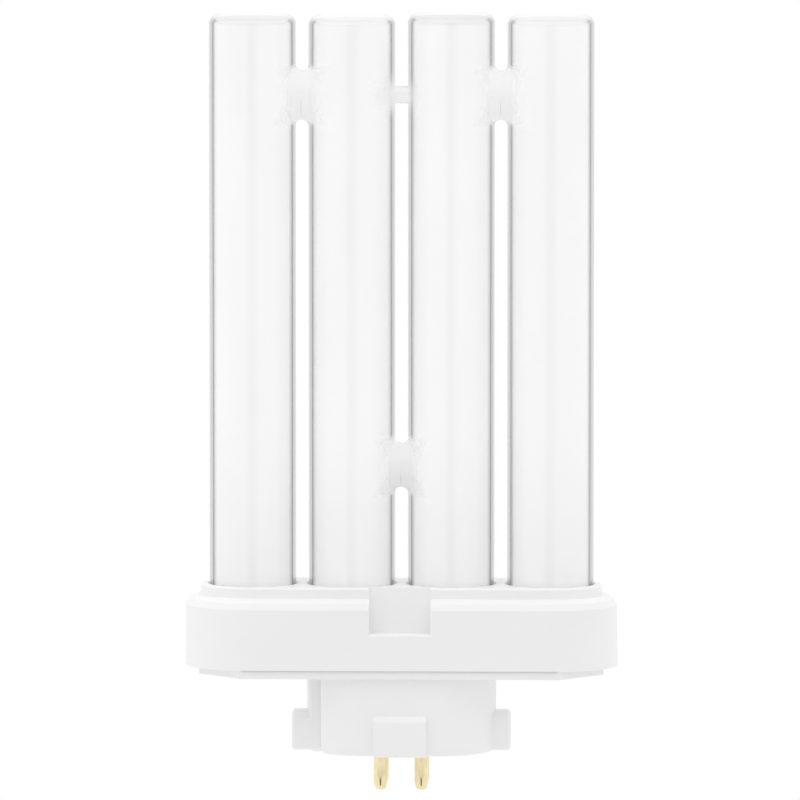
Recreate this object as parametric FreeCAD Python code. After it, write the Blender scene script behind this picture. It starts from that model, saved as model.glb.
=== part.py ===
"""Four-tube plug-in compact fluorescent lamp, lying on its back.

The lamp is drawn upright: X runs across the row of tubes, -Y is the front with the key
and the notch, and Z is the height above the tips of the contact pins. At the end every
piece is laid down, so that the tubes point along +Y, the front looks up along +Z and the
back of the skirt lies on the plane z = 0.
"""

import FreeCAD
import Part

import math
import os

# Glass tubes
TUBE_DIAMETER = 15.0
TUBE_WALL = 0.6
TUBE_GAP = 2.2                                  # between neighbouring tubes
TUBE_COUNT = 4
TUBE_TOP = 134.9                                # top of the tallest tube
TUBE_SHORTFALLS = (0.2, 0.4, 0.0, 0.3)          # hand-worked glass: no two tubes end level
TUBE_RECESS = 1.0                               # the tubes' feet above the sockets' lower end
END_CORNER = 1.9                                # rounding between the side and the end
END_DOME = 0.3                                  # rise of the nearly flat end

# Necks that join one tube to the next
UPPER_NECK_BELOW_TOP = 14.5
UPPER_NECK_RADIUS = 4.15
LOWER_NECK_HEIGHT = 56.2
LOWER_NECK_RADIUS = 3.55
STRUT_RADIUS = 1.5                              # solid glass strut between the middle tubes
SCOOP_BITE = 0.05                               # the slots' round ends run this far into the tubes

# Pinch seals that close the first and the last tube round their lead wires
PINCH_WIDTH = 8.0
PINCH_THICKNESS = 2.4
PINCH_CLEARANCE = 1.7                           # above the plug's flange

# Fluorescent layer on the inside of the glass, drawn thicker than a real layer of powder
COATING_GAP = 0.05
COATING_THICKNESS = 0.3

# Housing that holds the tubes
SOCKET_CLEARANCE = 0.37                         # filled with cement
COLLAR_WALL = 1.08
COLLAR_RISE = 1.9                               # above the shoulder
COLLAR_ROUNDING = 0.5
SHOULDER_HEIGHT = 33.7
SHOULDER_ROUNDING = 2.35
SKIRT_STEP = 2.75                               # from the collar out to the skirt's bottom edge
SKIRT_DRAFT = 0.1
SKIRT_BOTTOM = 21.4
SKIRT_WALL = 1.2                                # at the open bottom edge
SEAT_STEP = 0.5                                 # ledge that stops the plug's flange
SOCKET_SHARE = 0.374                            # height of the sockets' lower end, as a share of the skirt's
ROOF_THICKNESS = 1.9

# Notches in the middle of the front and of the back of the housing
NOTCH_WIDTH = 10.6
NOTCH_SHARE = 0.52                              # height of its floor, as a share of the skirt's
NOTCH_BITE = 0.45                               # how far its flat inner face cuts into the collar
NOTCH_WALL = 1.2
NOTCH_BEVEL = 0.25

# Plug: the flange inside the skirt, the eight-sided lid below it, and the plug block
FLANGE_THICKNESS = 1.5
FLANGE_CLEARANCE = 0.1
LID_THICKNESS = 1.4
LID_END_INSET = 2.5                             # from the skirt's bottom edge at its round ends
LID_SIDE_INSET = 1.3                            # and at its straight sides
LID_CORNER_RUN = 7.3                            # chamfer, along the width
LID_CORNER_RISE = 8.0                           # chamfer, along the depth
LID_EDGE = 0.35
PLUG_WIDTH = 33.0
PLUG_DEPTH = 20.4                               # its two ends are full half rounds
PLUG_DRAFT = 0.2
PLUG_BOTTOM = 6.4
PLUG_EDGE = 1.1
PLUG_WALL = 1.5
PLUG_FLOOR = 2.0
REBATE_WIDTH = 2.7                              # step in the front left corner
REBATE_CORNER = 2.0
REBATE_EDGE = 0.5

# Lugs on the ends of the plug, and the key on its front
LUG_SPAN = 37.9
LUG_DEPTH = 6.8
LUG_BOTTOM = 6.8
LUG_SIDE_HEIGHT = 5.5
LUG_CREST_RISE = 1.2
LUG_CREST_DEPTH = 2.4
LUG_EDGE = 0.7
KEY_WIDTH = 9.1
KEY_PROJECTION = 1.0
KEY_HEIGHT = 7.4
KEY_EDGE = 0.3

# Contact pins
PIN_CIRCLE = 10.0
PIN_COUNT = 4
PIN_DIAMETER = 2.35
PIN_TIP_DIAMETER = 1.75
PIN_TAPER_LENGTH = 1.3
PIN_TIP_EDGE = 0.2
PIN_SHOULDER_GAP = 0.15                         # the wide part ends this far below the plug
PIN_SHANK_DIAMETER = 2.25                       # inside the plug
PIN_FIT = 0.05
PIN_FLANGE_DIAMETER = 3.3
PIN_FLANGE_THICKNESS = 0.35
PIN_SEAM_WIDTH = 0.2
PIN_SEAM_DEPTH = 0.3
PIN_SEAM_LOW = 0.75
PIN_SEAM_HIGH = 1.9
DIMPLE_LENGTH = 2.8                             # oval squeeze mark above the seam's end
DIMPLE_DEPTH = 0.2
BOSS_DIAMETER = 4.4
BOSS_HEIGHT = 2.6

# Lead wires from the pinch seals to the pins
WIRE_DIAMETER = 0.5
WIRE_SPREAD = 3.6                               # between the two wires of one pinch seal
WIRE_RISE = 0.4                                 # of the wires' middle run above the plug's flange

# Cement rings
CEMENT_TOP_BELOW_COLLAR = 0.5
CEMENT_SHARE = 0.62                             # of the socket's depth

# Worked out from the sizes above
TUBE_RADIUS = TUBE_DIAMETER / 2
TUBE_PITCH = TUBE_DIAMETER + TUBE_GAP
SCOOP_RADIUS = TUBE_GAP / 2 + SCOOP_BITE
TUBE_AXES = [(i - (TUBE_COUNT - 1) / 2) * TUBE_PITCH for i in range(TUBE_COUNT)]
END_AXIS = TUBE_AXES[-1]
SKIRT_HEIGHT = SHOULDER_HEIGHT - SKIRT_BOTTOM
COLLAR_TOP = SHOULDER_HEIGHT + COLLAR_RISE
NOTCH_FLOOR = SKIRT_BOTTOM + NOTCH_SHARE * SKIRT_HEIGHT
SOCKET_BOTTOM = SKIRT_BOTTOM + SOCKET_SHARE * SKIRT_HEIGHT
TUBE_BOTTOM = SOCKET_BOTTOM + TUBE_RECESS
TUBE_TOPS = [TUBE_TOP - shortfall for shortfall in TUBE_SHORTFALLS]
UPPER_NECK_HEIGHT = TUBE_TOP - UPPER_NECK_BELOW_TOP
SOCKET_RADIUS = TUBE_RADIUS + SOCKET_CLEARANCE
COLLAR_RADIUS = SOCKET_RADIUS + COLLAR_WALL
NOTCH_DEPTH_LINE = COLLAR_RADIUS - NOTCH_BITE
SKIRT_RADIUS = COLLAR_RADIUS + SKIRT_STEP
SKIRT_TOP_RADIUS = SKIRT_RADIUS - SKIRT_DRAFT
FLANGE_SEAT = SKIRT_BOTTOM + FLANGE_THICKNESS
PINCH_BOTTOM = FLANGE_SEAT + PINCH_CLEARANCE
WIRE_LEVEL = FLANGE_SEAT + WIRE_RISE
FLANGE_RADIUS = SKIRT_RADIUS - SKIRT_WALL - FLANGE_CLEARANCE
CAVITY_RADIUS = SKIRT_RADIUS - SKIRT_WALL - SEAT_STEP
LID_BOTTOM = SKIRT_BOTTOM - LID_THICKNESS
LID_HALF_WIDTH = END_AXIS + SKIRT_RADIUS - LID_END_INSET
LID_HALF_DEPTH = SKIRT_RADIUS - LID_SIDE_INSET
PIN_RADIUS = PIN_DIAMETER / 2
PIN_SHANK_RADIUS = PIN_SHANK_DIAMETER / 2
PIN_SHOULDER = PLUG_BOTTOM - PIN_SHOULDER_GAP
BOSS_TOP = PLUG_BOTTOM + PLUG_FLOOR + BOSS_HEIGHT
PIN_TOP = BOSS_TOP + PIN_FLANGE_THICKNESS
PIN_CENTRES = [
    (PIN_CIRCLE / 2 * math.cos(math.radians(angle)), PIN_CIRCLE / 2 * math.sin(math.radians(angle)))
    for angle in [225 + i * 360 / PIN_COUNT for i in range(PIN_COUNT)]
]

UP = FreeCAD.Vector(0, 0, 1)
ACROSS = FreeCAD.Vector(1, 0, 0)
NODES = {}


def vector(x, y, z):
    return FreeCAD.Vector(x, y, z)


def polygon(points):
    """Straight-sided face through the points."""
    corners = [vector(*point) for point in points]
    return Part.Face(Part.makePolygon(corners + corners[:1]))


def block(x_low, x_high, y_low, y_high, z_low, z_high):
    return Part.makeBox(x_high - x_low, y_high - y_low, z_high - z_low, vector(x_low, y_low, z_low))


def rod(radius, x, y, z_low, z_high):
    return Part.makeCylinder(radius, z_high - z_low, vector(x, y, z_low), UP)


def fused(shapes):
    return shapes[0].multiFuse(shapes[1:]).removeSplitter()


def edges_at(shape, test):
    """Edges whose middle and both ends pass the test."""
    found = []
    for edge in shape.Edges:
        middle = edge.valueAt((edge.FirstParameter + edge.LastParameter) / 2)
        points = [vertex.Point for vertex in edge.Vertexes] + [middle]
        if all(test(point) for point in points):
            found.append(edge)
    return found


def distinct(edges):
    """The same edges, each once."""
    found = []
    for edge in edges:
        if not any(edge.isSame(other) for other in found):
            found.append(edge)
    return found


def near(value, target):
    return abs(value - target) < 0.001


def stadium(radius, z, half_span=END_AXIS):
    """Outline of two half circles joined by straight sides, round the row of tubes by default."""
    left = vector(-half_span, 0, z)
    right = vector(half_span, 0, z)
    front = vector(0, -radius, 0)
    back = vector(0, radius, 0)
    side = vector(radius, 0, 0)
    edges = [
        Part.LineSegment(left + front, right + front).toShape(),
        Part.Arc(right + front, right + side, right + back).toShape(),
        Part.LineSegment(right + back, left + back).toShape(),
        Part.Arc(left + back, left - side, left + front).toShape(),
    ]
    return Part.Wire(edges)


def stadium_block(low_radius, high_radius, z_low, z_high):
    return Part.makeLoft([stadium(low_radius, z_low), stadium(high_radius, z_high)], True, True)


def stadium_stack(levels):
    """Blocks on top of each other between outlines given as (radius, height)."""
    return fused([
        stadium_block(low_radius, high_radius, z_low, z_high)
        for (low_radius, z_low), (high_radius, z_high) in zip(levels, levels[1:])
    ])


def bevel_corners(radius, bevels):
    """Straight bevels that stand for a quarter round: corners as (inset, drop) from the sharp edge.

    They touch the round, keep its size, and cost far fewer facets. The first corner lies on
    the upper face and the last on the side.
    """
    half = math.pi / 4 / (bevels + 1)
    reach = radius / math.cos(half)
    angles = [half * (2 * i + 1) for i in range(bevels + 1)]
    return [(radius - reach * math.sin(angle), radius - reach * math.cos(angle)) for angle in angles]


def bevel_size(radius):
    """Width of the single bevel that stands for a quarter round."""
    return bevel_corners(radius, 1)[0][0]


def tube_body(x, inset, top, bevels, dome):
    """Closed rod on one tube's axis, inset from the outer surface of the glass."""
    radius = TUBE_RADIUS - inset
    end = top - END_DOME - inset
    profile = [(0, end + dome)]
    for in_by, drop in bevel_corners(END_CORNER - inset, bevels):
        profile.append((radius - in_by, end - drop))
    profile.append((radius, TUBE_BOTTOM + inset))
    profile.append((0, TUBE_BOTTOM + inset))
    body = polygon([(across, 0, height) for across, height in profile]).revolve(vector(0, 0, 0), UP, 360)
    body.translate(vector(x, 0, 0))
    return body


def necks():
    """The three joints between neighbouring tubes: (left tube, height, radius)."""
    return [
        (0, UPPER_NECK_HEIGHT, UPPER_NECK_RADIUS),
        (1, LOWER_NECK_HEIGHT, LOWER_NECK_RADIUS),
        (2, UPPER_NECK_HEIGHT, UPPER_NECK_RADIUS),
    ]


def neck_bar(left, height, radius):
    """Bar between two tubes, scooped above and below so that the slots beside it end round."""
    start = vector(TUBE_AXES[left], 0, height)
    bar = Part.makeCylinder(radius + SCOOP_RADIUS, TUBE_PITCH, start, ACROSS)
    middle = TUBE_AXES[left] + TUBE_PITCH / 2
    for side in (-1, 1):
        scoop_start = vector(middle, -TUBE_RADIUS, height + side * (radius + SCOOP_RADIUS))
        bar = bar.cut(Part.makeCylinder(SCOOP_RADIUS, TUBE_DIAMETER, scoop_start, vector(0, 1, 0)))
    return bar


def outer_row():
    """Outside of all four tubes with the necks between them."""
    tubes = [tube_body(x, 0, top, 2, END_DOME) for x, top in zip(TUBE_AXES, TUBE_TOPS)]
    return fused(tubes + [neck_bar(*neck) for neck in necks()])


def inner_row(inset):
    """Inner surface of all four tubes and their necks, inset from the outside of the glass."""
    shapes = [tube_body(x, inset, top, 1, 0) for x, top in zip(TUBE_AXES, TUBE_TOPS)]
    for left, height, radius in necks():
        start = vector(TUBE_AXES[left], 0, height)
        shapes.append(Part.makeCylinder(radius - inset, TUBE_PITCH, start, ACROSS))
    return fused(shapes)


def pinch_seal(x):
    """Flat press at the foot of an end tube, with rounded edges."""
    half_width = PINCH_WIDTH / 2
    half_thickness = PINCH_THICKNESS / 2
    top = TUBE_BOTTOM + TUBE_WALL
    press = block(
        x - half_thickness, x + half_thickness, half_thickness - half_width, half_width - half_thickness,
        PINCH_BOTTOM, top,
    )
    ends = [rod(half_thickness, x, side * (half_width - half_thickness), PINCH_BOTTOM, top)
            for side in (-1, 1)]
    return fused([press] + ends)


def glass_envelope():
    strut_start = vector(TUBE_AXES[1], 0, UPPER_NECK_HEIGHT)
    strut = Part.makeCylinder(STRUT_RADIUS, TUBE_PITCH, strut_start, ACROSS)
    pinches = [pinch_seal(x) for x in (TUBE_AXES[0], TUBE_AXES[-1])]
    return fused([outer_row(), strut] + pinches).cut(inner_row(TUBE_WALL))


def phosphor_coating():
    outside = inner_row(TUBE_WALL + COATING_GAP)
    return outside.cut(inner_row(TUBE_WALL + COATING_GAP + COATING_THICKNESS))


def notch_cutter(side):
    """Flat-backed slot from the collar's top down to the notch floor; side is -1 in front."""
    half = NOTCH_WIDTH / 2
    low, high = sorted((side * NOTCH_DEPTH_LINE, side * (SKIRT_RADIUS + 1)))
    return block(-half, half, low, high, NOTCH_FLOOR, COLLAR_TOP + 1)


def notch_mouth_edges(housing, side):
    """Edges where a notch breaks through the upright face of the skirt."""
    half = NOTCH_WIDTH / 2

    def on_mouth(point):
        beside = near(abs(point.x), half) or near(point.z, NOTCH_FLOOR)
        outside = side * point.y > SKIRT_TOP_RADIUS - 0.001
        return beside and outside and point.z < SHOULDER_HEIGHT

    return edges_at(housing, on_mouth)


def notch_pocket(side):
    """Walls and floor that line the notch inside the housing."""
    half = NOTCH_WIDTH / 2 + NOTCH_WALL
    low, high = sorted((side * SOCKET_RADIUS, side * (CAVITY_RADIUS + 0.1)))
    return block(-half, half, low, high, NOTCH_FLOOR - NOTCH_WALL, SHOULDER_HEIGHT - ROOF_THICKNESS + 0.1)


def tube_housing():
    shoulder = [
        (SKIRT_TOP_RADIUS - inset, SHOULDER_HEIGHT - drop)
        for inset, drop in bevel_corners(SHOULDER_ROUNDING, 2)
    ]
    skirt = stadium_stack([(SKIRT_RADIUS, SKIRT_BOTTOM)] + shoulder[::-1])
    flange_recess_radius = SKIRT_RADIUS - SKIRT_WALL
    flange_recess = stadium_block(flange_recess_radius, flange_recess_radius, SKIRT_BOTTOM, FLANGE_SEAT)
    cavity_top = SHOULDER_HEIGHT - ROOF_THICKNESS
    cavity = stadium_block(CAVITY_RADIUS, CAVITY_RADIUS, FLANGE_SEAT, cavity_top)
    shell = skirt.cut(flange_recess).cut(cavity)

    rim = [(COLLAR_RADIUS - inset, COLLAR_TOP - drop) for inset, drop in bevel_corners(COLLAR_ROUNDING, 1)]
    collar = stadium_stack([(COLLAR_RADIUS, SOCKET_BOTTOM)] + rim[::-1])
    housing = fused([shell, collar, notch_pocket(-1), notch_pocket(1)])
    for side in (-1, 1):
        housing = housing.cut(notch_cutter(side))
        housing = housing.makeChamfer(NOTCH_BEVEL, notch_mouth_edges(housing, side))
    for x in TUBE_AXES:
        housing = housing.cut(rod(SOCKET_RADIUS, x, 0, SOCKET_BOTTOM - 1, COLLAR_TOP + 1))
    return housing


def lid_outline(inset, z):
    """Eight-sided outline of the lid; the slanting sides keep their direction when inset."""
    slant = math.atan2(LID_CORNER_RISE, LID_CORNER_RUN)
    half_width = LID_HALF_WIDTH - inset
    half_depth = LID_HALF_DEPTH - inset
    run_end = LID_HALF_WIDTH - LID_CORNER_RUN - inset * math.tan((math.pi / 2 - slant) / 2)
    rise_end = LID_HALF_DEPTH - LID_CORNER_RISE - inset * math.tan(slant / 2)
    corners = [
        (run_end, half_depth), (half_width, rise_end), (half_width, -rise_end), (run_end, -half_depth),
        (-run_end, -half_depth), (-half_width, -rise_end), (-half_width, rise_end), (-run_end, half_depth),
    ]
    points = [vector(x, y, z) for x, y in corners]
    return Part.makePolygon(points + points[:1])


def lid_plate():
    """Eight-sided plate under the skirt, with its lower edge bevelled."""
    bevel = [lid_outline(LID_EDGE, LID_BOTTOM), lid_outline(0, LID_BOTTOM + LID_EDGE)]
    plate = [lid_outline(0, LID_BOTTOM + LID_EDGE), lid_outline(0, SKIRT_BOTTOM)]
    return fused([Part.makeLoft(bevel, True, True), Part.makeLoft(plate, True, True)])


def plug_core(inset, z_low, z_high):
    """Plug block with its step in the front left corner, inset from the outer surface."""
    half_span = (PLUG_WIDTH - PLUG_DEPTH) / 2
    radius = PLUG_DEPTH / 2 - inset
    outlines = [
        stadium(radius - PLUG_DRAFT * (SKIRT_BOTTOM - z) / (SKIRT_BOTTOM - PLUG_BOTTOM), z, half_span)
        for z in (z_low, z_high)
    ]
    core = Part.makeLoft(outlines, True, True)
    step_x = REBATE_WIDTH + inset - PLUG_WIDTH / 2
    step_y = inset - LUG_DEPTH / 2
    return core.cut(block(-PLUG_WIDTH, step_x, -PLUG_DEPTH, step_y, z_low - 1, z_high + 1))


def plug_block():
    """Outside of the plug, with the step's two upright edges and the lower edge rounded."""
    core = plug_core(0, PLUG_BOTTOM, SKIRT_BOTTOM)
    step_x = REBATE_WIDTH - PLUG_WIDTH / 2
    step_y = -LUG_DEPTH / 2
    inner = edges_at(core, lambda point: near(point.x, step_x) and point.y < step_y - PLUG_DRAFT)
    core = core.makeFillet(REBATE_CORNER, inner)
    outer = edges_at(core, lambda point: near(point.y, step_y) and point.x < step_x - PLUG_DRAFT)
    core = core.makeFillet(REBATE_EDGE, outer)
    foot_edges = edges_at(core, lambda point: near(point.z, PLUG_BOTTOM))
    return core.makeFillet(PLUG_EDGE, foot_edges)


def lugs():
    """One bar through the plug, whose two bevelled ends are the lugs."""
    half_depth = LUG_DEPTH / 2
    half_crest = LUG_CREST_DEPTH / 2
    side_top = LUG_BOTTOM + LUG_SIDE_HEIGHT
    start = -LUG_SPAN / 2
    profile = [
        (start, -half_depth, LUG_BOTTOM),
        (start, -half_depth, side_top),
        (start, -half_crest, side_top + LUG_CREST_RISE),
        (start, half_crest, side_top + LUG_CREST_RISE),
        (start, half_depth, side_top),
        (start, half_depth, LUG_BOTTOM),
    ]
    bar = polygon(profile).extrude(ACROSS * LUG_SPAN)
    above_foot = LUG_BOTTOM + LUG_EDGE
    bevelled = edges_at(bar, lambda point: near(point.z, LUG_BOTTOM))
    bevelled += edges_at(bar, lambda point: near(abs(point.x), LUG_SPAN / 2) and point.z > above_foot)
    for end in (-LUG_SPAN / 2, LUG_SPAN / 2):
        for side in (-half_depth, half_depth):
            bevelled += edges_at(
                bar, lambda point, end=end, side=side: near(point.x, end) and near(point.y, side),
            )
    return bar.makeChamfer(bevel_size(LUG_EDGE), distinct(bevelled))


def key():
    """Key on the front of the plug, with its top sloped back into the block."""
    face = -(PLUG_DEPTH / 2 - PLUG_DRAFT)
    front = face - KEY_PROJECTION
    top = PLUG_BOTTOM + KEY_HEIGHT
    profile = [
        (-KEY_WIDTH / 2, face + PLUG_WALL / 2, PLUG_BOTTOM),
        (-KEY_WIDTH / 2, front, PLUG_BOTTOM),
        (-KEY_WIDTH / 2, front, top - KEY_PROJECTION - PLUG_DRAFT),
        (-KEY_WIDTH / 2, face + PLUG_WALL / 2, top + PLUG_WALL / 2 - PLUG_DRAFT),
    ]
    solid = polygon(profile).extrude(ACROSS * KEY_WIDTH)
    front_edges = edges_at(solid, lambda point: near(point.y, front))
    return solid.makeChamfer(bevel_size(KEY_EDGE), front_edges)


def plug_cover():
    flange = stadium_block(FLANGE_RADIUS, FLANGE_RADIUS, SKIRT_BOTTOM, FLANGE_SEAT)
    cover = fused([flange, lid_plate(), plug_block(), lugs(), key()])
    inner_floor = PLUG_BOTTOM + PLUG_FLOOR
    cover = cover.cut(plug_core(PLUG_WALL, inner_floor, FLANGE_SEAT + 0.1))
    bosses = [rod(BOSS_DIAMETER / 2, x, y, inner_floor - PLUG_FLOOR / 2, BOSS_TOP) for x, y in PIN_CENTRES]
    cover = fused([cover] + bosses)
    for x, y in PIN_CENTRES:
        cover = cover.cut(rod(PIN_SHANK_RADIUS + PIN_FIT, x, y, PLUG_BOTTOM - 1, BOSS_TOP + 1))
    return cover


def squeeze_marks():
    """What the crimping tool leaves on the front of a pin: an oval dimple above a short seam."""
    ball_radius = (DIMPLE_LENGTH ** 2 / 4 + DIMPLE_DEPTH ** 2) / (2 * DIMPLE_DEPTH)
    ball_y = DIMPLE_DEPTH - PIN_RADIUS - ball_radius
    dimple = Part.makeSphere(ball_radius, vector(0, ball_y, PIN_SEAM_HIGH + DIMPLE_LENGTH / 2))
    half = PIN_SEAM_WIDTH / 2
    seam = block(-half, half, -PIN_RADIUS - 1, PIN_SEAM_DEPTH - PIN_RADIUS, PIN_SEAM_LOW, PIN_SEAM_HIGH)
    return [dimple, seam]


def contact_pin(x, y):
    """Rolled and crimped brass pin, with a flange that holds it on its boss."""
    tip_radius = PIN_TIP_DIAMETER / 2
    flange_radius = PIN_FLANGE_DIAMETER / 2
    profile = [
        (0, 0), (tip_radius - PIN_TIP_EDGE, 0), (tip_radius, PIN_TIP_EDGE), (PIN_RADIUS, PIN_TAPER_LENGTH),
        (PIN_RADIUS, PIN_SHOULDER), (PIN_SHANK_RADIUS, PIN_SHOULDER), (PIN_SHANK_RADIUS, BOSS_TOP),
        (flange_radius, BOSS_TOP), (flange_radius, PIN_TOP), (0, PIN_TOP),
    ]
    pin = polygon([(across, 0, height) for across, height in profile]).revolve(vector(0, 0, 0), UP, 360)
    pin = pin.cut(squeeze_marks())
    pin.translate(vector(x, y, 0))
    return pin


def bent_rod(points, radius):
    """Round wire along straight runs that turn on balls."""
    pieces = [Part.makeSphere(radius, corner) for corner in points[1:-1]]
    for start, end in zip(points, points[1:]):
        run = end - start
        pieces.append(Part.makeCylinder(radius, run.Length, start, run))
    return fused(pieces)


def lead_wire(tube_x, side, pin_x, pin_y):
    """Wire from one side of a pinch seal, along under the tubes and down to its pin."""
    leaving = side * WIRE_SPREAD / 2
    points = [
        vector(tube_x, leaving, PINCH_BOTTOM),
        vector(tube_x, leaving, WIRE_LEVEL),
        vector(pin_x, pin_y, WIRE_LEVEL),
        vector(pin_x, pin_y, PIN_TOP),
    ]
    return bent_rod(points, WIRE_DIAMETER / 2)


def cement_ring(x):
    high = COLLAR_TOP - CEMENT_TOP_BELOW_COLLAR
    low = high - CEMENT_SHARE * (COLLAR_TOP - SOCKET_BOTTOM)
    return rod(SOCKET_RADIUS, x, 0, low, high).cut(rod(TUBE_RADIUS, x, 0, low - 1, high + 1))


def lay_down(shape):
    """Turn the upright lamp onto its back, centred along its length."""
    laid = shape.copy()
    laid.rotate(vector(0, 0, 0), ACROSS, -90)
    laid.translate(vector(0, -TUBE_TOP / 2, SKIRT_RADIUS))
    return laid


def build():
    NODES["glass_envelope"] = glass_envelope()
    NODES["phosphor_coating"] = phosphor_coating()
    NODES["tube_housing"] = tube_housing()
    NODES["plug_cover"] = plug_cover()
    for i, (x, y) in enumerate(PIN_CENTRES):
        NODES[f"contact_pin_{i + 1}"] = contact_pin(x, y)
        tube_x = math.copysign(END_AXIS, x)
        side = math.copysign(1, y)
        NODES[f"lead_wire_{i + 1}"] = lead_wire(tube_x, side, x, y)
    for i, x in enumerate(TUBE_AXES):
        NODES[f"tube_cement_{i + 1}"] = cement_ring(x)


def export():
    os.makedirs("parts", exist_ok=True)
    for name, shape in NODES.items():
        laid = lay_down(shape)
        if len(laid.Solids) != 1 or not laid.isValid():
            raise ValueError(f"{name} is not one valid solid")
        laid.Solids[0].exportStep(f"parts/{name}.step")
        print(f"{name}: {laid.Volume:.1f} cubic mm, box {laid.BoundBox}")


build()
export()
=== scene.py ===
"""Looks of the plug-in fluorescent lamp: finishes, fine details, floor, light and camera.

The lamp lies on its back with its tubes towards +Y and its front up, so that "seen from the
front" means from above. All sizes are in metres.
"""

import math

import bpy
from mathutils import Matrix, Vector


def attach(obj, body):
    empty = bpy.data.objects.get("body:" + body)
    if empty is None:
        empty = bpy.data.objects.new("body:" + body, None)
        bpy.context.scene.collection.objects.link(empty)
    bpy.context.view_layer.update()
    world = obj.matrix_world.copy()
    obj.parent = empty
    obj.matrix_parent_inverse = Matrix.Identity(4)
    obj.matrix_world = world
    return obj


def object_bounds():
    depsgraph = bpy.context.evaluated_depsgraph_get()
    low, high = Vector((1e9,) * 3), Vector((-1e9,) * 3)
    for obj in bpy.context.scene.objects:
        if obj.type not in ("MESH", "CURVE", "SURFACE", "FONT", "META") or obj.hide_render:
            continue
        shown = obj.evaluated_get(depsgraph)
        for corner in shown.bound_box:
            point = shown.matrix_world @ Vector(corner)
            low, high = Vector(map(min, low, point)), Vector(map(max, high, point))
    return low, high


MM = 0.001
PINS = [f"contact_pin_{i}" for i in range(1, 5)]
WIRES = [f"lead_wire_{i}" for i in range(1, 5)]
CEMENTS = [f"tube_cement_{i}" for i in range(1, 5)]
WHITE = (1.0, 1.0, 1.0, 1.0)

# Camera: seen almost straight from the front, a little from the tubes' end
VIEW_WIDTH = 138.6 * MM                         # width of the picture at the lamp's mid-plane
CAMERA_DISTANCE = 1.73
CAMERA_LEAN = math.radians(5.0)
CAMERA_SWING = math.radians(1.7)
CAMERA_REACH = 20
SENSOR = 36.0
FRAME_CENTRE = (-0.28 * MM, 0.0)                # the lamp stands a little right of the middle

# Tubes
TUBE_PITCH = 17.2 * MM
AXIS_HEIGHT = 11.7 * MM
OUTSIDE_FROM = 7.2 * MM                         # from a tube's axis, within its glass wall

# What the glass wall lets through, by how far it turns away from the eye: (turn, share)
EDGE_GREY = [
    (0.40, 1.0), (0.462, 0.96), (0.50, 0.88), (0.542, 0.69), (0.58, 0.56), (0.605, 0.66), (0.625, 0.79),
    (0.715, 0.83), (0.81, 0.92), (1.0, 1.0),
]
WELD_GREY = 0.3                                 # share of that greying which stays over the welds
GLOSS_HEAD_ON = 0.04
END_GLOSS_FADE = (0.7, 0.95)                    # by how much a surface faces along the tubes

# Welds between the tubes, seen from the front (x, y), and how far their milky zones reach.
# The fades are shares of the waist and the reach: all up to the first, nothing from the second.
NECKS = [(-17.2 * MM, 52.95 * MM), (0.0, -11.25 * MM), (17.2 * MM, 52.95 * MM)]
NECK_WAIST = 2.7 * MM
NECK_REACH = 4.1 * MM
NECK_FLARE = 0.35                               # how much wider the zone is at its ends
NECK_SIDE_FADE = (0.4, 1.3)
NECK_END_FADE = (1.0, 1.35)
NECK_SEAM = 0.12 * MM
STRUT = (-1.1 * MM, 52.95 * MM)
STRUT_HAZE = (2.7 * MM, 2.3 * MM)
STRUT_FADE = (0.1, 1.9)
STRUT_SHARE = 0.8
MILK_SHARE = 0.85

# Glow that stands for the light that wanders inside a white tube
GLOW = 0.47
MILK_GLOW = 0.5 * GLOW
DIMMER_FROM, DIMMER_TO = 0.0, -34.0 * MM        # towards the base less light reaches the tubes
END_FROM, END_TO = 65.0 * MM, 66.5 * MM         # nor do the far ends glow as much
END_SHARE = 0.55
POWDER_AT_BASE, MILK_AT_BASE = 0.86, 0.2        # shares of the glow left there

# Join between the skirt and the lid of the base, and the painted shade along it
JOIN_Y = -46.05 * MM
JOIN_SHADE_WIDTH = 0.16 * MM
JOIN_SHADE_FADE = (26.869 * MM, 27.7 * MM)            # the painted shade shows between the lid's corners

# Lid
LID_HALF_WIDTH = 35.04 * MM                     # a little outside the lid of the CAD
LID_HALF_DEPTH = 11.35 * MM                     # a little inside the skirt, front and back
LID_THICKNESS = 1.42 * MM
LID_TOP = 0.05 * MM                             # above the join, inside the base
LID_CORNER = (7.3 * MM, 8.0 * MM)
LID_EDGE = 0.2 * MM

# Folded tip of the contact pins: painted shade in the slit between the two folds, and less in the fork above
# it
SLIT_X = 3.536 * MM
SLIT_Y = -66.1 * MM
SLIT_FADES = ((0.055 * MM, 0.165 * MM), (0.52 * MM, 0.715 * MM))
FORK_Y = -65.35 * MM
FORK_FADES = ((0.09 * MM, 0.3 * MM), (0.09 * MM, 0.3 * MM))
FORK_SHARE = 0.3

# Floor
FLOOR_HALF = 3.0
FLOOR_DROP = 0.02 * MM
FLOOR_GLOW = 0.9                                # share of its white that doesn't need light

# Light: a plain level, a lean of the light, and more of it from both ends of the lamp
LIGHT_LEVEL = 0.95
LIGHT_LEAN = (-0.04, 0.20, -0.24)
LIGHT_ENDS = 0.5
DIM_SPOT_FROM, DIM_SPOT_LEVEL = 0.93, 0.2       # what mirrors see where the camera stands

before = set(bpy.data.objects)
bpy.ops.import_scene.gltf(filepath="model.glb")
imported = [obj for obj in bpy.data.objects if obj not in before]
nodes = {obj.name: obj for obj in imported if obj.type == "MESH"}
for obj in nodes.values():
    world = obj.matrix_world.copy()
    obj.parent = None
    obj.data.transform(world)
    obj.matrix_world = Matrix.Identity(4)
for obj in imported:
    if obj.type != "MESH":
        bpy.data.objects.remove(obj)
cad_low, cad_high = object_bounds()


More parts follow.
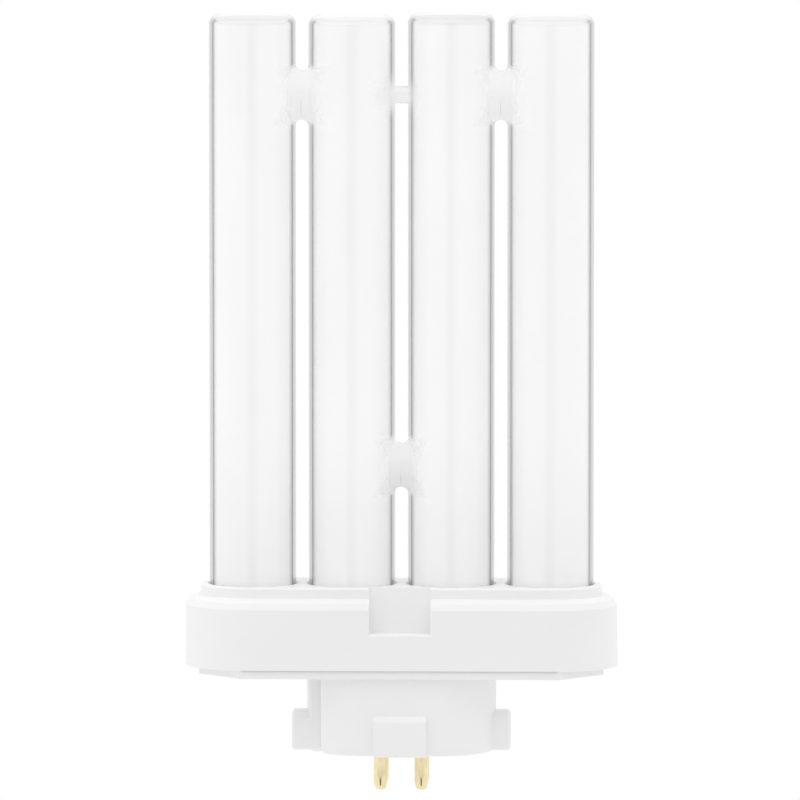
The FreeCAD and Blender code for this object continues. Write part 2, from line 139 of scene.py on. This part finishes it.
class Shading:
    """Short way to write the node tree of a material or of the world."""

    def __init__(self, owner, output):
        owner.use_nodes = True
        self.owner = owner
        self.tree = owner.node_tree
        self.tree.nodes.clear()
        self.output = self.node(output)

    def node(self, kind, inputs=None, **settings):
        """New node; an input takes either a constant or another node's output."""
        made = self.tree.nodes.new("ShaderNode" + kind)
        for key, value in settings.items():
            setattr(made, key, value)
        for key, value in (inputs or {}).items():
            if isinstance(value, bpy.types.NodeSocket):
                self.tree.links.new(value, made.inputs[key])
            else:
                made.inputs[key].default_value = value
        return made

    def show(self, shader):
        """Put the shader on the surface and return the finished material or world."""
        self.tree.links.new(shader, self.output.inputs["Surface"])
        return self.owner

    def math(self, operation, first, second=0.0):
        return self.node("Math", {0: first, 1: second}, operation=operation).outputs[0]

    def vector(self, operation, first, second=(0, 0, 0), output=0):
        return self.node("VectorMath", {0: first, 1: second}, operation=operation).outputs[output]

    def times(self, *factors):
        product = factors[0]
        for factor in factors[1:]:
            product = self.math("MULTIPLY", product, factor)
        return product

    def rest(self, share):
        """What a share leaves of 1."""
        return self.math("SUBTRACT", 1.0, share)

    def range(self, source, low, high, from_low=0.0, from_high=1.0, **settings):
        """Stretch of values that is moved to the stretch from low to high."""
        inputs = {"Value": source, "From Min": from_low, "From Max": from_high, "To Min": low, "To Max": high}
        return self.node("MapRange", inputs, **settings).outputs["Result"]

    def fade(self, source, start, end):
        """1 up to start, 0 from end on."""
        return self.range(source, 1.0, 0.0, start, end, interpolation_type="SMOOTHSTEP")

    def patch(self, across, along, across_fade, along_fade):
        """1 near the middle of two distances, fading both ways."""
        return self.times(self.fade(across, *across_fade), self.fade(along, *along_fade))

    def place(self):
        """Coordinates on the object, in metres."""
        return self.node("TexCoord").outputs["Object"]

    def along_tubes(self, vector):
        return self.node("SeparateXYZ", {0: vector}).outputs["Y"]

    def apart(self, centre):
        """Distances to the left or right and up or down from a point seen from the front."""
        away = self.vector("ABSOLUTE", self.vector("SUBTRACT", self.place(), (*centre, 0)))
        split = self.node("SeparateXYZ", {0: away}).outputs
        return split["X"], split["Y"]

    def noise(self, scale, detail=2.0, roughness=0.5, stretch=(1, 1, 1)):
        mapping = self.node("Mapping", {"Vector": self.place(), "Scale": stretch}).outputs["Vector"]
        inputs = {"Vector": mapping, "Scale": scale, "Detail": detail, "Roughness": roughness}
        return self.node("TexNoise", inputs).outputs["Fac"]

    def ramp(self, source, stops):
        made = self.node("ValToRGB", {"Fac": source})
        band = made.color_ramp
        while len(band.elements) < len(stops):
            band.elements.new(0.5)
        for element, (position, colour) in zip(band.elements, stops):
            element.position = position
            element.color = (*colour, 1)
        return made.outputs["Color"]

    def overlay(self, share, below, above):
        return self.node("MixRGB", {"Fac": share, "Color1": below, "Color2": above}).outputs[0]

    def mix(self, share, below, above):
        return self.node("MixShader", {0: share, 1: below, 2: above}).outputs[0]

    def bump(self, height, strength, distance):
        inputs = {"Height": height, "Strength": strength, "Distance": distance}
        return self.node("Bump", inputs).outputs["Normal"]

    def dimmer(self, at_base):
        """1 along the tubes, less at their far ends, and down to a share at the base."""
        along = self.along_tubes(self.place())
        base = self.range(along, at_base, 1.0, DIMMER_TO, DIMMER_FROM, interpolation_type="SMOOTHSTEP")
        return self.times(base, self.range(along, 1.0, END_SHARE, END_FROM, END_TO))

    def principled(self, inputs):
        return self.node("BsdfPrincipled", inputs).outputs["BSDF"]


def new_material(name):
    return Shading(bpy.data.materials.new(name), "OutputMaterial")


def grey(level):
    return (level, level, level)


def outer_glass(shading):
    """1 on the outside of the tubes and 0 on the inside of their walls."""
    flat = shading.vector("MULTIPLY", shading.place(), (1, 0, 1))
    shifted = shading.vector("SUBTRACT", flat, (TUBE_PITCH / 2, 0, 0))
    low = (-TUBE_PITCH / 2, 0, AXIS_HEIGHT - TUBE_PITCH / 2)
    high = (TUBE_PITCH / 2, 1, AXIS_HEIGHT + TUBE_PITCH / 2)
    wrapped = shading.node("VectorMath", {0: shifted, 1: high, 2: low}, operation="WRAP").outputs[0]
    away = shading.vector("DISTANCE", wrapped, (0, 0, AXIS_HEIGHT), "Value")
    return shading.math("GREATER_THAN", away, OUTSIDE_FROM)


def neck_haze(shading, centre):
    """Milky hourglass over a weld."""
    across, along = shading.apart(centre)
    far = shading.math("DIVIDE", along, NECK_REACH)
    flare = shading.math("ADD", 1.0, shading.times(shading.math("POWER", far, 2.0), NECK_FLARE))
    wide = shading.math("DIVIDE", shading.math("DIVIDE", across, NECK_WAIST), flare)
    return shading.patch(wide, far, NECK_SIDE_FADE, NECK_END_FADE)


def neck_seam(shading, centre):
    """Fine line down the lower half of a weld, where the two tubes melted together."""
    across, along = shading.apart((centre[0], centre[1] - NECK_REACH / 2))
    return shading.patch(across, along, (0.0, NECK_SEAM), (0.0, NECK_REACH / 2))


def strut_haze(shading):
    """Faint milky oval where the strut is melted onto the second tube."""
    away = shading.vector("SUBTRACT", shading.place(), (*STRUT, 0))
    scaled = shading.vector("MULTIPLY", away, (1 / STRUT_HAZE[0], 1 / STRUT_HAZE[1], 0))
    oval = shading.fade(shading.vector("LENGTH", scaled, output="Value"), *STRUT_FADE)
    return shading.times(oval, STRUT_SHARE)


def glass_skin(shading, weld, hard, normal, facing):
    """Clear glass that greys what lies behind it at its edges, and mirrors at a flat angle."""
    greyed = shading.ramp(facing, [(turn, grey(level)) for turn, level in EDGE_GREY])
    share = shading.times(outer_glass(shading), shading.range(weld, 1.0, WELD_GREY), hard)
    clear = shading.node("BsdfTransparent", {"Color": shading.overlay(share, WHITE, greyed)}).outputs[0]
    gloss = shading.node("BsdfGlossy", {"Roughness": 0.02, "Normal": normal}).outputs[0]

    lengthwise = shading.along_tubes(shading.node("NewGeometry").outputs["Normal"])
    on_side = shading.fade(shading.math("ABSOLUTE", lengthwise), *END_GLOSS_FADE)
    mirror = shading.range(shading.math("POWER", facing, 5.0), GLOSS_HEAD_ON, 1.0)
    return shading.mix(shading.times(mirror, on_side, shading.rest(weld)), clear, gloss)


def glass_milk(shading, facing):
    """Glass clouded by the flame, darker in the seams, with painted shade where it is seen edge on and a
    painted glow, less towards the base.
    """
    seams = 0.0
    for centre in NECKS:
        seams = shading.math("ADD", neck_seam(shading, centre), seams)
    clouds = shading.range(shading.noise(500), 0.0, 0.15)
    # painted shade where the milky glass is seen edge on
    painted_edge_shade = shading.math("POWER", facing, 4.0)
    darker = shading.math("ADD", shading.math("ADD", seams, clouds), painted_edge_shade)
    return shading.principled({
        "Base Color": shading.ramp(darker, [(0.0, grey(0.71)), (1.0, grey(0.46))]),
        "Roughness": 0.25,
        "Specular IOR Level": 0.3,
        "Emission Color": WHITE,
        # painted glow standing for light inside the tubes, less towards the base
        "Emission Strength": shading.times(shading.dimmer(MILK_AT_BASE), MILK_GLOW),
    })


def clear_glass():
    """Thin-walled drawn glass, clear where it is worked little and milky round its welds.

    Seen edge on, the wall greys what lies behind it. That is done on the outside of the
    tubes, by the angle it is seen at, and soft light passes straight through.
    """
    shading = new_material("clear_glass")
    wave = shading.noise(60, roughness=0.4, stretch=(1, 0.15, 1))
    normal = shading.bump(wave, 0.05, 0.2 * MM)
    facing = shading.node("LayerWeight", {"Blend": 0.5, "Normal": normal}).outputs["Facing"]
    rays = shading.node("LightPath").outputs
    hard = shading.rest(shading.math("MAXIMUM", rays["Is Shadow Ray"], rays["Is Diffuse Ray"]))
    weld = strut_haze(shading)
    for centre in NECKS:
        weld = shading.math("MAXIMUM", weld, neck_haze(shading, centre))
    milky = shading.times(weld, MILK_SHARE, hard)
    skin = glass_skin(shading, weld, hard, normal, facing)
    return shading.show(shading.mix(milky, skin, glass_milk(shading, facing)))


def phosphor():
    """Matt white powder, with faint clouds of thicker and thinner coating, and a painted glow for the light
    that wanders inside the tube, less towards the base and the far ends.
    """
    shading = new_material("phosphor")
    clouds = shading.noise(90, 3.0, 0.55, stretch=(1, 0.35, 1))
    grain = shading.noise(5000, 1.0)
    return shading.show(shading.principled({
        "Base Color": shading.ramp(clouds, [(0.3, grey(0.54)), (0.7, (0.57, 0.57, 0.568))]),
        "Roughness": 1.0,
        "Specular IOR Level": 0.0,
        "Emission Color": WHITE,
        # painted glow: light that wanders inside the tube, dimmed towards the base and the far ends
        "Emission Strength": shading.times(shading.dimmer(POWDER_AT_BASE), GLOW),
        "Normal": shading.bump(grain, 0.1, 0.02 * MM),
    }))


def white_plastic():
    """Moulded white plastic, satin, with fine skin texture, flow clouds and painted shade along the seam with
    the lid.
    """
    shading = new_material("white_plastic")
    clouds = shading.noise(45, 3.0, 0.6)
    skin = shading.noise(3500, 2.0, 0.6)
    colour = shading.ramp(clouds, [(0.3, (0.90, 0.90, 0.898)), (0.7, (0.92, 0.92, 0.918))])
    across, along = shading.apart((0, JOIN_Y))
    # painted shade: a grey line in the seam under the skirt, where the lid meets it
    join_shade = shading.patch(across, along, JOIN_SHADE_FADE, (0.0, JOIN_SHADE_WIDTH))
    return shading.show(shading.principled({
        "Base Color": shading.overlay(join_shade, colour, (0.6, 0.6, 0.6, 1)),
        "Roughness": shading.range(clouds, 0.38, 0.48),
        "Specular IOR Level": 0.4,
        "Normal": shading.bump(skin, 0.12, 0.03 * MM),
    }))


def pin_slit_shade(shading):
    """Mask of painted shade: 1 in the fine slit near the tip of each pin, and less in the fork above it."""
    across, along = shading.apart((0, SLIT_Y))
    across = shading.math("ABSOLUTE", shading.math("SUBTRACT", across, SLIT_X))
    slit = shading.patch(across, along, *SLIT_FADES)
    fork = shading.patch(across, shading.apart((0, FORK_Y))[1], *FORK_FADES)
    return shading.math("MAXIMUM", slit, shading.times(fork, FORK_SHARE))


def drawn_metal(name, base, roughness, slit=False):
    """Metal with fine lengthwise lines and faint clouds; the pins also have painted shade in their slit."""
    shading = new_material(name)
    lines = shading.noise(2500, stretch=(1, 0.04, 1))
    clouds = shading.noise(400)
    colour = shading.ramp(clouds, [(0.35, tuple(0.9 * value for value in base)), (0.65, base)])
    if slit:
        # painted shade, dark brass, in the pins' slit and fork
        colour = shading.overlay(pin_slit_shade(shading), colour, (0.33, 0.26, 0.10, 1))
    return shading.show(shading.principled({
        "Base Color": colour,
        "Metallic": 1.0,
        "Roughness": shading.range(clouds, *roughness),
        "Normal": shading.bump(lines, 0.15, 0.01 * MM),
    }))


def silicone():
    """Cured clear-white sealant."""
    shading = new_material("silicone")
    clouds = shading.noise(300)
    return shading.show(shading.principled({
        "Base Color": shading.ramp(clouds, [(0.3, (0.86, 0.86, 0.85)), (0.7, (0.93, 0.93, 0.92))]),
        "Roughness": 0.25,
        "Specular IOR Level": 0.5,
        "Transmission Weight": 0.3,
    }))


def add_mesh(name, points, faces, material):
    mesh = bpy.data.meshes.new(name)
    mesh.from_pydata(points, [], faces)
    mesh.materials.append(material)
    made = bpy.data.objects.new(name, mesh)
    bpy.context.scene.collection.objects.link(made)
    return made


def lid_outline(inset, y):
    """Eight-sided outline of the lid at one height, counted from its front right corner."""
    slant = math.atan2(LID_CORNER[1], LID_CORNER[0])
    wide, deep = LID_HALF_WIDTH - inset, LID_HALF_DEPTH - inset
    run_end = LID_HALF_WIDTH - LID_CORNER[0] - inset * math.tan((math.pi / 2 - slant) / 2)
    rise_end = LID_HALF_DEPTH - LID_CORNER[1] - inset * math.tan(slant / 2)
    right = [(run_end, deep), (wide, rise_end), (wide, -rise_end), (run_end, -deep)]
    corners = right + [(-x, z) for x, z in reversed(right)]
    return [(x, y, AXIS_HEIGHT + z) for x, z in corners]


def make_lid(material):
    """Lid as the photo shows it, nearly level with the front and back of the skirt."""
    foot = JOIN_Y - LID_THICKNESS
    loops = [lid_outline(0, JOIN_Y + LID_TOP), lid_outline(0, foot + LID_EDGE), lid_outline(LID_EDGE, foot)]
    count = len(loops[0])
    faces = [tuple(range(count)), tuple(reversed(range(2 * count, 3 * count)))]
    for low in (0, count):
        for i in range(count):
            after = (i + 1) % count
            faces.append((low + i, low + count + i, low + count + after, low + after))
    lid = add_mesh("lid_plate", [point for loop in loops for point in loop], faces, material)
    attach(lid, "root")


def dress(names, material):
    """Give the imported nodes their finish."""
    for name in names:
        slots = nodes[name].data.materials
        slots.clear()
        slots.append(material)


def floor_white():
    """White to the camera and to mirrors; elsewhere a pale floor that keeps a faint shadow."""
    shading = new_material("floor")
    rays = shading.node("LightPath").outputs
    seen = shading.math("MAXIMUM", rays["Is Camera Ray"], rays["Is Glossy Ray"])
    seen = shading.math("MAXIMUM", seen, rays["Is Transmission Ray"])
    matt = shading.node("BsdfDiffuse", {"Color": (0.9, 0.9, 0.9, 1)}).outputs[0]
    glow = shading.node("Emission", {"Color": WHITE, "Strength": 1.0}).outputs[0]
    return shading.show(shading.mix(shading.math("MAXIMUM", seen, FLOOR_GLOW), matt, glow))


def make_floor():
    half = FLOOR_HALF
    corners = [(-half, -half, 0), (half, -half, 0), (half, half, 0), (-half, half, 0)]
    floor = add_mesh("floor", corners, [(0, 1, 2, 3)], floor_white())
    floor.location.z = cad_low[2] - FLOOR_DROP


def light_world():
    """White for the camera, soft light for the lamp, and a dim spot at the camera for mirrors."""
    world = bpy.data.worlds.new("studio")
    bpy.context.scene.world = world
    shading = Shading(world, "OutputWorld")
    direction = shading.node("TexCoord").outputs["Generated"]
    rays = shading.node("LightPath").outputs

    def background(strength):
        return shading.node("Background", {"Color": WHITE, "Strength": strength}).outputs[0]

    lean = shading.vector("DOT_PRODUCT", direction, LIGHT_LEAN, "Value")
    along = shading.along_tubes(direction)
    ends = shading.times(along, along, LIGHT_ENDS)
    level = shading.math("ADD", shading.math("ADD", ends, LIGHT_LEVEL), lean)
    eye = (0, math.sin(CAMERA_LEAN), math.cos(CAMERA_LEAN))
    toward_eye = shading.vector("DOT_PRODUCT", direction, eye, "Value")
    dim_spot = shading.range(toward_eye, 1.0, DIM_SPOT_LEVEL, DIM_SPOT_FROM, 1.0)
    lit = shading.mix(rays["Is Glossy Ray"], background(level), background(dim_spot))
    seen = shading.math("MAXIMUM", rays["Is Camera Ray"], rays["Is Transmission Ray"])
    shading.show(shading.mix(seen, lit, background(1.0)))


def make_camera():
    """Camera over the front of the lamp, with the tubes' ends at the top of the picture."""
    middle = Vector((*FRAME_CENTRE, (cad_low[2] + cad_high[2]) / 2))
    data = bpy.data.cameras.new("camera")
    data.sensor_width = SENSOR
    data.lens = SENSOR * CAMERA_DISTANCE / VIEW_WIDTH
    data.clip_end = CAMERA_REACH
    camera = bpy.data.objects.new("camera", data)
    bpy.context.scene.collection.objects.link(camera)
    back = Vector((
        math.sin(CAMERA_SWING), math.sin(CAMERA_LEAN), math.cos(CAMERA_LEAN) * math.cos(CAMERA_SWING),
    )).normalized()
    right = Vector((0, 1, 0)).cross(back).normalized()
    camera.location = middle + back * CAMERA_DISTANCE
    camera.rotation_euler = Matrix((right, back.cross(right), back)).transposed().to_euler()
    bpy.context.scene.camera = camera


bpy.context.scene.view_settings.view_transform = "Standard"
make_camera()
make_floor()
light_world()

plastic = white_plastic()
dress(["glass_envelope"], clear_glass())
dress(["phosphor_coating"], phosphor())
dress(["tube_housing", "plug_cover"], plastic)
dress(PINS, drawn_metal("pin_brass", (0.98, 0.86, 0.56), (0.48, 0.58), slit=True))
dress(WIRES, drawn_metal("lead_wire", (0.80, 0.52, 0.38), (0.25, 0.4)))
dress(CEMENTS, silicone())
make_lid(plastic)
